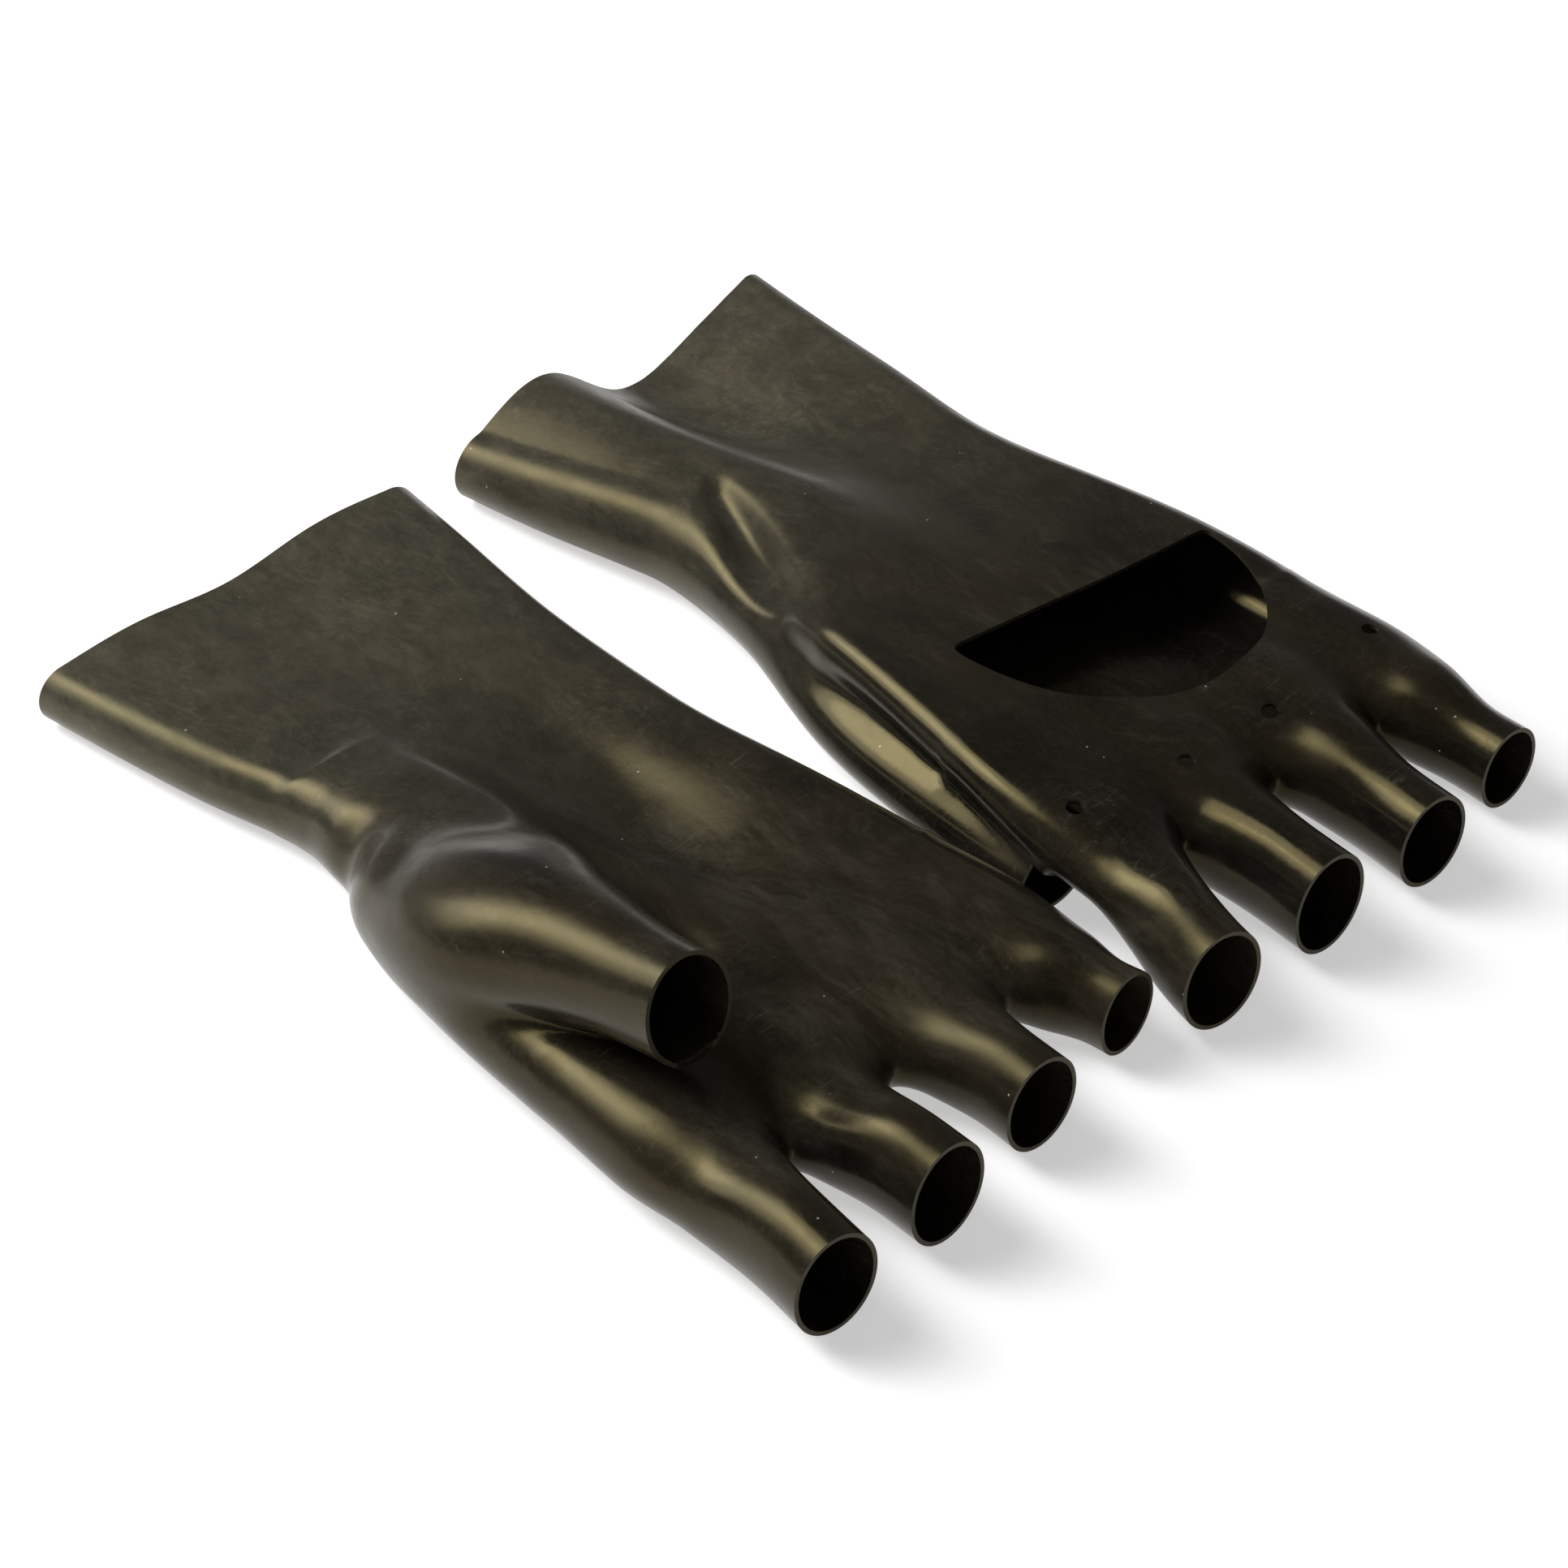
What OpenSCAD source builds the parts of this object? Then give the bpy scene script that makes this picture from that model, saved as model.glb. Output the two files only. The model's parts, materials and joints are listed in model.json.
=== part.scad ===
// Pair of moulded rubber gloves with short open finger stubs, lying relaxed on a flat surface.
// Each glove is one seamless shell. The right glove lies palm up and the left one back up.
// +X runs from the cuffs to the fingers, +Y from the right glove to the left one, +Z is up.

/* [Glove body] */
// Length from the cuff edge to the webs between the fingers
body_l = 212; // [185:1:240]
// Width across the cuff edge as the glove lies
cuff_w = 105; // [92:1:120]
// Width across the wrist as the glove lies
wrist_w = 86; // [76:1:98]
// Width across the palm as the glove lies
palm_w = 113; // [100:1:126]
// Thickness of the rubber
wall = 1.0; // [0.8:0.1:1.4]
// How high the glove stands, as a share of its natural lie
loft = 1.0; // [0.85:0.05:1.3]

/* [Finger stubs] */
// Length of each stub past the webs, index to little finger
stub_l = [35, 32, 26, 18]; // [15:1:45]
// Outer width of each stub at its mouth
stub_w = [20, 20, 19, 17]; // [15:0.5:22]
// Outer height of each stub at its mouth
stub_h = [25, 25, 23, 20]; // [18:0.5:28]
// Distance between the middles of two stubs
finger_pitch = 33; // [30:0.5:36]

/* [Thumb] */
// Outer width of the thumb mouth
thumb_w = 22; // [18:0.5:25]
// Outer height of the thumb mouth
thumb_h = 25; // [20:0.5:28]

/* [Openings in the back] */
// Distance from the cuff edge to the straight side of the half-moon opening
cut_from = 145; // [135:1:155]
// Length of the half-moon opening along the hand
cut_l = 42; // [25:1:46]
// Width of the half-moon opening across the hand
cut_w = 79; // [50:1:82]
// How far the half-moon opening sits towards the little finger
cut_shift = 9; // [0:1:12]
// Diameter of the four vent holes at the knuckles
vent_d = 4; // [3:0.5:6]
// Distance from the webs back to the foremost vent hole
vent_back = 11; // [10:1:16]

/* [Pair] */
// Clear distance between the widest parts of the two gloves
pair_gap = 5; // [5:1:60]

/* [Hidden] */
RUBBER = "#2b2722";
PAST = 1.5;
TRIM_ROOM = 0.5;
LIP = 3;
FN = 24;
SEAT = 0.15;
ROOT_DEPTH = 18;
ROOT_SHARE = 0.85;
ROOT_RISE = 0.55;
ROOT_NARROW = 4;
STUB_ACROSS = [0.12, 0.373, 0.626, 0.879];
STUB_FLARE = 9;
WEB_BACK = 6;
WEB_SUNK = 1.5;
WEB_SLOT = 2;
NECK = 5;
NECK_TURN = 0.3;
NECK_RISE = 0.51;
NECK_FLARE = 0.35;
MID_TURN = 0.7;
MID_LIFT = 0.1;
TURN_BACK = 20;
CUFF_LAG = 8.6;
SIDE_SET = 0.7;
STUB_ROOM = 0.5;
FOLD_STEPS = 4;
ACROSS_STEPS = 9;
ALONG_STEPS = 32;
END_ROUND = 9;
END_STEPS = 4;
END_FLAT = 0.15;
LIFT_ACROSS = 0.45;
SKEW_SHARE = 0.3;
ROW_X = -(body_l + stub_l[0] - CUFF_LAG) / 2;
LEFT_LAG = 4.5;

// Share of the way from cuff to wrist, then from wrist to palm, at nine even stations
TO_WRIST = [0, 0.36, 0.76, 1, 1, 1, 1, 1, 1];
TO_PALM = [0, 0, 0, 0, 0.32, 0.67, 0.89, 1, 1];
// How the right glove lies, a row a station: middle line, then five heights of its upper
// wall from the thumb side to the far side, then how far its thumb side is lifted
RIGHT_LIE = [
  [0.0, 14, 15, 13, 16, 15, 0],
  [0.5, 15, 15, 13, 16, 16, 0],
  [1.8, 16, 16, 14, 16, 16, 0],
  [3.8, 18, 17, 15, 16, 16, 0],
  [0.2, 20, 20, 17, 17, 17, 0],
  [-1.0, 20, 21, 19, 18, 18, 0],
  [-0.5, 20, 20, 20, 19, 18, 0],
  [0.0, 21, 20, 20, 20, 19, 0],
  [0.0, 23, 21, 21, 21, 20, 0]
];
LEFT_LIE = [
  [-1.5, 17, 21.5, 5, 6, 12.5, 0],
  [-1.2, 20, 23, 9, 11, 15, 0],
  [0.5, 22, 24, 15, 15, 17, 0],
  [1.3, 24, 26, 20, 17, 18, 2],
  [1.0, 28, 27, 23, 20, 19, 13],
  [2.0, 30, 27, 24, 21, 19, 19],
  [1.5, 30, 27, 24, 21, 19, 19],
  [0.0, 29, 26, 24, 22, 19, 18.5],
  [0.0, 27, 25, 24, 23, 20, 13]
];
// Where each stub's mouth ends up: forward and sideways of its straight place
RIGHT_SPREAD = [[0, 1.5], [0, 0.8], [0, -0.7], [0, -1.4]];
LEFT_SPREAD = [[-1.5, -1.5], [0.5, -1.5], [7, -3.5], [9, -5.5]];
// Thumb stations: place, width and height as shares of the mouth, turn and climb in degrees
RIGHT_THUMB = [
  [90, -28, 11, 0.8, 0.50, 0, 14],
  [112, -34.2, 17.5, 1.3, 0.90, 0, 16],
  [136, -37, 25, 1.65, 1.15, 0, 16],
  [156, -36, 30, 1.40, 1.12, 0, 14],
  [176, -35.5, 34.5, 1.10, 1.0, 0, 12],
  [192, -35.5, 38, 1.0, 1.0, 0, 12]
];
LEFT_THUMB = [
  [62, -28, 10.5, 0.8, 0.60, -3, 0],
  [95, -34, 9.9, 1.10, 0.74, -10, 0],
  [125, -43.5, 9.2, 1.05, 0.71, -12, 0],
  [155, -48.5, 8.7, 0.92, 0.68, -7, 0],
  [194, -50.5, 8.5, 0.88, 0.67, -3, 0]
];
// Each vent hole's place behind the foremost one and sideways of its stub's root
VENT_SET = [[1, -5.5], [-2, -1.5], [-1, -8], [5, 2.5]];
// Distance between the two gloves' middle lines: it leaves room between the hands, between
// the stubs, and between the right hand and the left thumb's mouth beside it
THUMB_ROOM = 1.2;
THUMB_MOUTH = LEFT_THUMB[len(LEFT_THUMB) - 1];
ROW_PITCH = max(
  max(palm_w, cuff_w) + pair_gap,
  3 * finger_pitch + (stub_w[0] + stub_w[3]) / 2 + STUB_ROOM,
  palm_w / 2 + thumb_w * THUMB_MOUTH[3] / 2 - THUMB_MOUTH.y + THUMB_ROOM
);
ROW_Y = SIDE_SET - ROW_PITCH / 2;
// How much shorter a glove lies than its full length
RIGHT_TUCK = 0;
LEFT_TUCK = 3;
// How far the far side of the cuff edge lies behind the near side
RIGHT_SKEW = 0;
LEFT_SKEW = 11;
// Heights between which the back is cut: the right glove's back is its lower wall, and the
// left glove's is its upper wall, where the cut's floor falls towards the far side
CUT_PAST = 1;
LEFT_CUT_LOW = 16.5;
LEFT_CUT_HIGH = 45;
LEFT_CUT_SLOPE = -0.14;

// One number on a smooth curve through evenly spaced values, with u from 0 to 1
function glide(values, u) =
  let (
    last = len(values) - 1,
    place = max(0, min(0.9999, u)) * last,
    i = floor(place),
    f = place - i,
    a = values[max(0, i - 1)],
    b = values[i],
    c = values[i + 1],
    d = values[min(last, i + 2)]
  )
  b + f * (c - a + f * (2 * a - 5 * b + 4 * c - d + f * (3 * b - a - 3 * c + d))) / 2;

function column(rows, i) = [for (row = rows) row[i]];

function width_at(u) =
  let (narrow = glide(TO_WRIST, u), wide = glide(TO_PALM, u))
  cuff_w + (wrist_w - cuff_w) * narrow + (palm_w - wrist_w) * wide;

function mix(a, b, share) = a + (b - a) * share;

// Height of the upper wall at a place along and across
function top_at(lie, u, v) =
  loft * glide([for (i = [1:5]) glide(column(lie, i), u)], v);

// Height of the lower wall, which only the lifted thumb side takes off the floor
function bottom_at(lie, u, v) =
  let (fade = max(0, 1 - v / LIFT_ACROSS))
  loft * max(0, glide(column(lie, 6), u)) * fade * fade * (3 - 2 * fade);

// One cross-section as pairs of upper and lower points, inset by the wall where asked
function section(lie, u, x, skew, inset, squeeze) =
  let (
    half = width_at(u) / 2,
    mid = glide(column(lie, 0), u),
    near_top = top_at(lie, u, 0),
    near_bottom = bottom_at(lie, u, 0),
    near_r = (near_top - near_bottom) / 2,
    far_r = top_at(lie, u, 1) / 2,
    near_y = mid - half + near_r,
    far_y = mid + half - far_r,
    tops = concat(
      [for (i = [0:FOLD_STEPS - 1]) let (a = 90 * i / FOLD_STEPS)
        [near_y - (near_r - inset) * cos(a), near_bottom + near_r + (near_r - inset) * sin(a)]],
      [for (j = [0:ACROSS_STEPS]) let (v = j / ACROSS_STEPS)
        [mix(near_y, far_y, v), top_at(lie, u, v) - inset]],
      [for (i = [FOLD_STEPS - 1:-1:0]) let (a = 90 * i / FOLD_STEPS)
        [far_y + (far_r - inset) * cos(a), far_r + (far_r - inset) * sin(a)]]
    ),
    bottoms = concat(
      [for (i = [0:FOLD_STEPS - 1]) let (a = 90 * i / FOLD_STEPS)
        [near_y - (near_r - inset) * cos(a), near_bottom + near_r - (near_r - inset) * sin(a)]],
      [for (j = [0:ACROSS_STEPS]) let (v = j / ACROSS_STEPS)
        [mix(near_y, far_y, v), bottom_at(lie, u, v) + inset]],
      [for (i = [FOLD_STEPS - 1:-1:0]) let (a = 90 * i / FOLD_STEPS)
        [far_y + (far_r - inset) * cos(a), far_r - (far_r - inset) * sin(a)]]
    )
  )
  [for (i = [0:len(tops) - 1]) let (centre = (tops[i][1] + bottoms[i][1]) / 2)
    [
      [x - skew * (tops[i][0] / cuff_w), tops[i][0], mix(centre, tops[i][1], squeeze)],
      [x - skew * (tops[i][0] / cuff_w), tops[i][0], mix(centre, bottoms[i][1], squeeze)]
    ]
  ];

// The closed skin through all cross-sections, from the cuff to the webs
module body_loft(lie, tuck, skew, inset, past) {
  length = body_l - tuck - inset;
  round_u = 1 - END_ROUND / length;
  stations = concat(
    [-past / length],
    [for (i = [0:ALONG_STEPS - 1]) mix(LIP / length, round_u, i / ALONG_STEPS)],
    [for (i = [0:END_STEPS]) round_u + (1 - round_u) * sin(90 * i / END_STEPS)]
  );
  sections = [for (u = stations)
    let (
      shape_u = max(u, LIP / length),
      left_over = max(0, 1 - (1 - u) * length / END_ROUND),
      squeeze = max(END_FLAT, sqrt(max(0, 1 - left_over * left_over))),
      fade = max(0, 1 - shape_u / SKEW_SHARE)
    )
    section(lie, shape_u, u * length, skew * fade, inset, squeeze)];
  columns = len(sections[0]);
  loop = 2 * columns - 2;
  last = len(sections) - 1;
  points = [for (s = sections) each concat(
    [for (p = s) p[0]],
    [for (i = [columns - 2:-1:1]) s[i][1]]
  )];
  skin = [for (k = [0:last - 1], i = [0:loop - 1])
    let (a = k * loop + i, b = k * loop + (i + 1) % loop)
    [a, b, b + loop, a + loop]];
  cuff_cap = [for (i = [0:columns - 2])
    i == 0 ? [1, 0, loop - 1]
      : i == columns - 2 ? [i + 1, i, loop - i]
      : [i + 1, i, loop - i, loop - i - 1]];
  web_cap = [for (face = cuff_cap) [for (j = [len(face) - 1:-1:0]) last * loop + face[j]]];
  polyhedron(points, concat(skin, cuff_cap, web_cap), convexity = 8);
}

// The points of an oval ring that faces along the hand, turned and climbing as asked
function ring(place, size, turn, climb, inset) =
  [for (k = [0:FN - 1])
    let (
      across = (size.x / 2 - inset) * cos(360 * k / FN),
      up = (size.y / 2 - inset) * sin(360 * k / FN),
      back = up * sin(climb)
    )
    place + [
      -across * sin(turn) - back * cos(turn),
      across * cos(turn) - back * sin(turn),
      up * cos(climb)
    ]];

// The same ring moved ahead along its own axis
function ahead(station, distance) =
  [
    station[0] + distance * [
      cos(station[2]) * cos(station[3]),
      sin(station[2]) * cos(station[3]),
      sin(station[3])
    ],
    station[1], station[2], station[3]
  ];

// A tube through a list of stations (place, size, turn and climb) with a straight lip
module tube(stations, inset, past) {
  mouth = stations[len(stations) - 1];
  run = concat(
    [for (i = [0:len(stations) - 2]) stations[i]],
    [ahead(mouth, -LIP), ahead(mouth, past)]
  );
  points = [for (s = run) each ring(s[0], s[1], s[2], s[3], inset)];
  top = (len(run) - 1) * FN;
  polyhedron(points, concat(
    [[for (k = [0:FN - 1]) k], [for (k = [FN - 1:-1:0]) top + k]],
    [for (i = [0:len(run) - 2], k = [0:FN - 1])
      let (n = (k + 1) % FN)
      [i * FN + n, i * FN + k, (i + 1) * FN + k, (i + 1) * FN + n]]
  ), convexity = 6);
}

// The block that trims a tube off flat at its mouth
module trim(mouth) {
  hull() {
    for (step = [0, 1]) {
      slab = ahead(mouth, step * 3 * PAST);
      polyhedron(
        concat(
          ring(slab[0], slab[1], slab[2], slab[3], -TRIM_ROOM),
          ring(ahead(slab, 0.1)[0], slab[1], slab[2], slab[3], -TRIM_ROOM)
        ),
        concat(
          [[for (k = [0:FN - 1]) k], [for (k = [FN - 1:-1:0]) FN + k]],
          [for (k = [0:FN - 1]) let (n = (k + 1) % FN) [n, k, FN + k, FN + n]]
        )
      );
    }
  }
}

// Width of a stub where it leaves the hand
function web_width(i) = min(finger_pitch - WEB_SLOT, stub_w[i] + STUB_FLARE);

// Middle of a stub where it leaves the hand: the outer two keep to the hand's edges
function root_y(i, web_w) =
  i == 0 ? (web_w - palm_w) / 2 : i == 3 ? (palm_w - web_w) / 2 : (i - 1.5) * finger_pitch;

// Stations of one finger stub: buried root, web, neck, middle and mouth
function stub_stations(lie, i, spread, tuck) =
  let (
    web_x = body_l - tuck,
    web_w = web_width(i),
    root_x = web_x - ROOT_DEPTH,
    v = STUB_ACROSS[i],
    y = root_y(i, web_w),
    mouth_x = web_x + stub_l[i] + spread[i].x,
    mouth_y = (i - 1.5) * finger_pitch + spread[i].y,
    turn = atan2(mouth_y - y, mouth_x - web_x + TURN_BACK),
    root_low = bottom_at(lie, root_x / web_x, v) + SEAT,
    web_low = bottom_at(lie, 1 - END_ROUND / web_x, v) + SEAT,
    web_h = min(stub_h[i], top_at(lie, 1, v) - web_low * 0.5) - WEB_SUNK,
    root_h = (top_at(lie, root_x / web_x, v) - root_low) * ROOT_SHARE
  )
  [
    [[root_x, y, root_low + root_h * ROOT_RISE], [web_w - ROOT_NARROW, root_h], 0, 0],
    [[web_x - WEB_BACK, y, web_low + web_h / 2], [web_w, web_h], 0, 0],
    [[web_x + NECK, mix(y, mouth_y, NECK_TURN), web_low * 0.5 + web_h * NECK_RISE],
      [mix(stub_w[i], web_w, NECK_FLARE), web_h], turn, 0],
    [[mix(web_x + NECK, mouth_x, 0.5), mix(y, mouth_y, MID_TURN), stub_h[i] / 2 + web_low * MID_LIFT],
      [stub_w[i], stub_h[i]], turn, 0],
    [[mouth_x, mouth_y, stub_h[i] / 2], [stub_w[i], stub_h[i]], turn, 0]
  ];

function thumb_stations(rows) =
  [for (s = rows)
    [[s[0], s[1], s[2]], [s[3] * thumb_w, s[4] * thumb_h], s[5], s[6]]];

// The outer form of one glove, or with an inset its hollow
module form(lie, spread, thumb, tuck, skew, inset, past) {
  body_loft(lie, tuck, skew, inset, inset > 0 ? past : 0);
  for (i = [0:3]) {
    tube(stub_stations(lie, i, spread, tuck), inset, past);
  }
  tube(thumb_stations(thumb), inset, past);
}

// All five mouths of one glove, trimmed flat
module trims(lie, spread, thumb, tuck) {
  for (i = [0:3]) {
    stations = stub_stations(lie, i, spread, tuck);
    trim(stations[len(stations) - 1]);
  }
  trim(thumb_stations(thumb)[len(thumb) - 1]);
}

// Outline of the half-moon opening: straight towards the wrist, round towards the fingers
module half_moon() {
  translate([cut_from, cut_shift]) intersection() {
    scale([2 * cut_l / cut_w, 1]) circle(d = cut_w, $fn = 48);
    translate([0, -cut_w]) square([2 * cut_l, 2 * cut_w]);
  }
}

// Cutters for the openings in the back, from a sloping floor upwards
module back_cuts(tuck, low, high, slope) {
  multmatrix([[1, 0, 0, -tuck], [0, 1, 0, 0], [0, slope, 1, low]]) {
    linear_extrude(high - low) half_moon();
    for (i = [0:3]) {
      x = body_l - vent_back - VENT_SET[i].x;
      y = root_y(i, web_width(i)) + VENT_SET[i].y;
      hull() {
        translate([x, y, 0]) cylinder(h = 1, d = vent_d, $fn = 16);
        translate([x, y, high - low - 1]) cylinder(h = 1, d = vent_d, $fn = 16);
      }
    }
  }
}

// One whole shell, less the openings that its lie puts between two heights
module glove(lie, spread, thumb, tuck, skew, low, high, slope) {
  difference() {
    form(lie, spread, thumb, tuck, skew, 0, PAST);
    form(lie, spread, thumb, tuck, skew, wall, 2 * PAST);
    trims(lie, spread, thumb, tuck);
    back_cuts(tuck, low, high, slope);
  }
}

module right_glove() {
  color(RUBBER) translate([ROW_X, ROW_Y, 0])
    glove(RIGHT_LIE, RIGHT_SPREAD, RIGHT_THUMB, RIGHT_TUCK, RIGHT_SKEW, -CUT_PAST, wall + CUT_PAST, 0);
}

module left_glove() {
  color(RUBBER) translate([ROW_X - LEFT_LAG, ROW_Y + ROW_PITCH, 0])
    glove(
      LEFT_LIE, LEFT_SPREAD, LEFT_THUMB, LEFT_TUCK, LEFT_SKEW,
      LEFT_CUT_LOW, LEFT_CUT_HIGH, LEFT_CUT_SLOPE
    );
}

right_glove();
left_glove();
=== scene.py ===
"""Two moulded rubber gloves, lying relaxed side by side on a pale studio floor.

Each glove is a smooth body meshed at about a millimetre, trimmed at its mouths and openings,
and given a real wall. The sizes inside a glove are in millimetres, from the middle of its cuff
edge on the floor, +X to the fingers and -Y to the thumb. Everything that Blender holds is in
metres.
"""

import json
import logging
import math
from dataclasses import dataclass, field
from enum import Enum

import bpy
import numpy as np
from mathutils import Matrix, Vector

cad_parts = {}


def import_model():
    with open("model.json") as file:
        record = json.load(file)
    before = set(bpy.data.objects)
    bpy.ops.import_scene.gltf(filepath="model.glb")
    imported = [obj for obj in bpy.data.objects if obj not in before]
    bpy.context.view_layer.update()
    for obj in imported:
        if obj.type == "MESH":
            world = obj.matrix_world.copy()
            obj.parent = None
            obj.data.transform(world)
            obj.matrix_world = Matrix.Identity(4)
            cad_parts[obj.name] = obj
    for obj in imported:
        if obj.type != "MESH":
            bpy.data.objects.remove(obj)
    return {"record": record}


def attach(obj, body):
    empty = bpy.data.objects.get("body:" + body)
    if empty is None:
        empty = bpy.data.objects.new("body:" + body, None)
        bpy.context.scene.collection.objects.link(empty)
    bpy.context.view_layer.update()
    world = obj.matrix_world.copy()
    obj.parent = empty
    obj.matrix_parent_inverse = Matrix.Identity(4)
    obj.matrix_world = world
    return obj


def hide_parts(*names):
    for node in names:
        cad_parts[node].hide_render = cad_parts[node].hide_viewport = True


LOG = logging.getLogger("gloves")
MM = 0.001
Array = np.ndarray


# ---------------------------------------------------------------- curves and small maths


class Spline:
    """A smooth curve with even second derivatives through values at given places."""

    def __init__(self, places: list[float], values: list) -> None:
        """Solves the curve.

        Args:
            places: rising places of the values.
            values: one number, or one row of numbers, for each place.
        """
        self.at = np.asarray(places, float)
        self.values = np.asarray(values, float)
        count = len(self.at)
        gap = np.diff(self.at)
        lhs = np.eye(count)
        rhs = np.zeros_like(self.values)
        for i in range(1, count - 1):
            lhs[i, i - 1:i + 2] = gap[i - 1], 2 * (gap[i - 1] + gap[i]), gap[i]
            ahead = (self.values[i + 1] - self.values[i]) / gap[i]
            behind = (self.values[i] - self.values[i - 1]) / gap[i - 1]
            rhs[i] = 6 * (ahead - behind)
        self.bend = np.linalg.solve(lhs, rhs)

    def __call__(self, place: Array) -> Array:
        """Values of the curve at any places, held at its two ends."""
        place = np.clip(place, self.at[0], self.at[-1])
        i = np.clip(np.searchsorted(self.at, place, side="right") - 1, 0, len(self.at) - 2)
        gap = self.at[i + 1] - self.at[i]
        b = (place - self.at[i]) / gap
        a = 1 - b
        if self.values.ndim > 1:
            a, b, gap = a[..., None], b[..., None], gap[..., None]
        curve = ((a ** 3 - a) * self.bend[i] + (b ** 3 - b) * self.bend[i + 1]) * gap ** 2 / 6
        return a * self.values[i] + b * self.values[i + 1] + curve


def blend_min(a: Array, b: Array, reach: Array | float) -> Array:
    """The lesser of two fields, rounded where they are within reach of each other."""
    near = np.maximum(reach - np.abs(a - b), 0) / reach
    return np.minimum(a, b) - near * near * reach / 4


def ease(share: Array) -> Array:
    """Smooth step of a share that is cut to 0 to 1."""
    share = np.clip(share, 0, 1)
    return share * share * (3 - 2 * share)


# ---------------------------------------------------------------- the glove's form


@dataclass(frozen=True)
class Station:
    """One oval section of a finger or thumb: its middle, its size and how it faces."""

    x: float
    y: float
    z: float
    wide: float
    high: float
    turn: float = 0.0
    climb: float = 0.0


@dataclass(frozen=True)
class Dent:
    """A soft hollow in the rubber, or a swelling where the depth is negative."""

    x: float
    y: float
    z: float
    along: float
    across: float
    up: float
    turn: float
    depth: float

    def press(self, p: Array) -> Array:
        """How far this dent moves the surface inwards at each point."""
        c, s = math.cos(math.radians(self.turn)), math.sin(math.radians(self.turn))
        dx, dy, dz = p[..., 0] - self.x, p[..., 1] - self.y, p[..., 2] - self.z
        u = (dx * c + dy * s) / self.along
        v = (dy * c - dx * s) / self.across
        return self.depth * np.exp(-(u * u + v * v + (dz / self.up) ** 2))


class Crease:
    """A narrow valley in the rubber that follows a smooth line."""

    def __init__(self, places: list[float], rows: list[tuple], up: float = 8.0) -> None:
        """Prepares the valley's curve.

        Args:
            places: places along the hand where the valley is given.
            rows: its sideways place, height, half width and depth at each of them.
            up: how far above and below its line the valley still reaches.
        """
        self.low, self.high, self.up = places[0], places[-1], up
        self.line = Spline(places, rows)

    def press(self, p: Array) -> Array:
        """How far this crease moves the surface inwards at each point."""
        y, z, wide, deep = np.moveaxis(self.line(np.clip(p[..., 0], self.low, self.high)), -1, 0)
        v = (p[..., 1] - y) / wide
        v = np.where(v > 0, v * 1.5, v)
        fade = ease((p[..., 0] - self.low) / 8) * ease((self.high - p[..., 0]) / 8)
        return fade * deep * np.exp(-(v * v + ((p[..., 2] - z) / self.up) ** 2))


class Tube:
    """A finger or thumb: oval sections along a smooth middle line."""

    REACH = 1.2

    def __init__(self, stations: list[Station], blend: tuple[float, float], past: float = 2.5) -> None:
        """Prepares the curves of the tube.

        Args:
            stations: sections from the buried root to the mouth.
            blend: reach of the soft web between this tube and the hand, at its root and mouth.
            past: how far the tube runs on past its mouth before it is trimmed.
        """
        self.blend = blend
        self.past = past
        mouth = stations[-1]
        turn, climb = math.radians(mouth.turn), math.radians(mouth.climb)
        self.axis = np.array([
            math.cos(turn) * math.cos(climb), math.sin(turn) * math.cos(climb), math.sin(climb)
        ])
        self.mouth = np.array([mouth.x, mouth.y, mouth.z])
        self.cap_room = 1 + abs(math.sin(climb)) * mouth.high / 2 + abs(math.sin(turn)) * mouth.wide / 2
        ends = self.mouth + self.axis * past
        rows = [[s.y, s.z, s.wide / 2, s.high / 2 / math.cos(math.radians(s.climb))] for s in stations]
        rows.append([ends[1], ends[2], rows[-1][2], rows[-1][3]])
        places = [s.x for s in stations] + [ends[0]]
        self.shape = Spline(places, rows)
        self.root, self.tip = places[0], places[-1]

    def side(self, p: Array) -> Array:
        """Distance to the tube's skin as if it had no ends, in millimetres and negative inside."""
        y, z, a, b = np.moveaxis(self.shape(p[..., 0]), -1, 0)
        dy, dz = p[..., 1] - y, p[..., 2] - z
        k0 = np.sqrt((dy / a) ** 2 + (dz / b) ** 2) + 1e-6
        k1 = np.sqrt((dy / a ** 2) ** 2 + (dz / b ** 2) ** 2) + 1e-6
        return k0 * (k0 - 1) / k1

    def field(self, p: Array) -> Array:
        """Distance to the tube's skin and its two ends."""
        side = self.side(p)
        return np.maximum(side, np.maximum(self.root - p[..., 0], p[..., 0] - self.tip))

    def join(self, skin: Array, p: Array) -> Array:
        """Joins the tube to the skin of the hand, with a web that narrows towards the mouth."""
        share = ease((p[..., 0] - self.root) / (self.mouth[0] - self.root))
        return blend_min(skin, self.field(p), self.blend[0] + (self.blend[1] - self.blend[0]) * share)

    def trim(self, p: Array) -> Array:
        """Distance behind the mouth's plane, negative on what is trimmed away."""
        ahead = (p - self.mouth) @ self.axis
        return np.maximum(-ahead, np.maximum(self.side(p) - self.REACH, ahead - self.past - self.cap_room))


class Wall(Enum):
    """Which wall of a lying glove holds the openings in its back."""

    UPPER = 1.0
    LOWER = -1.0


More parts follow.
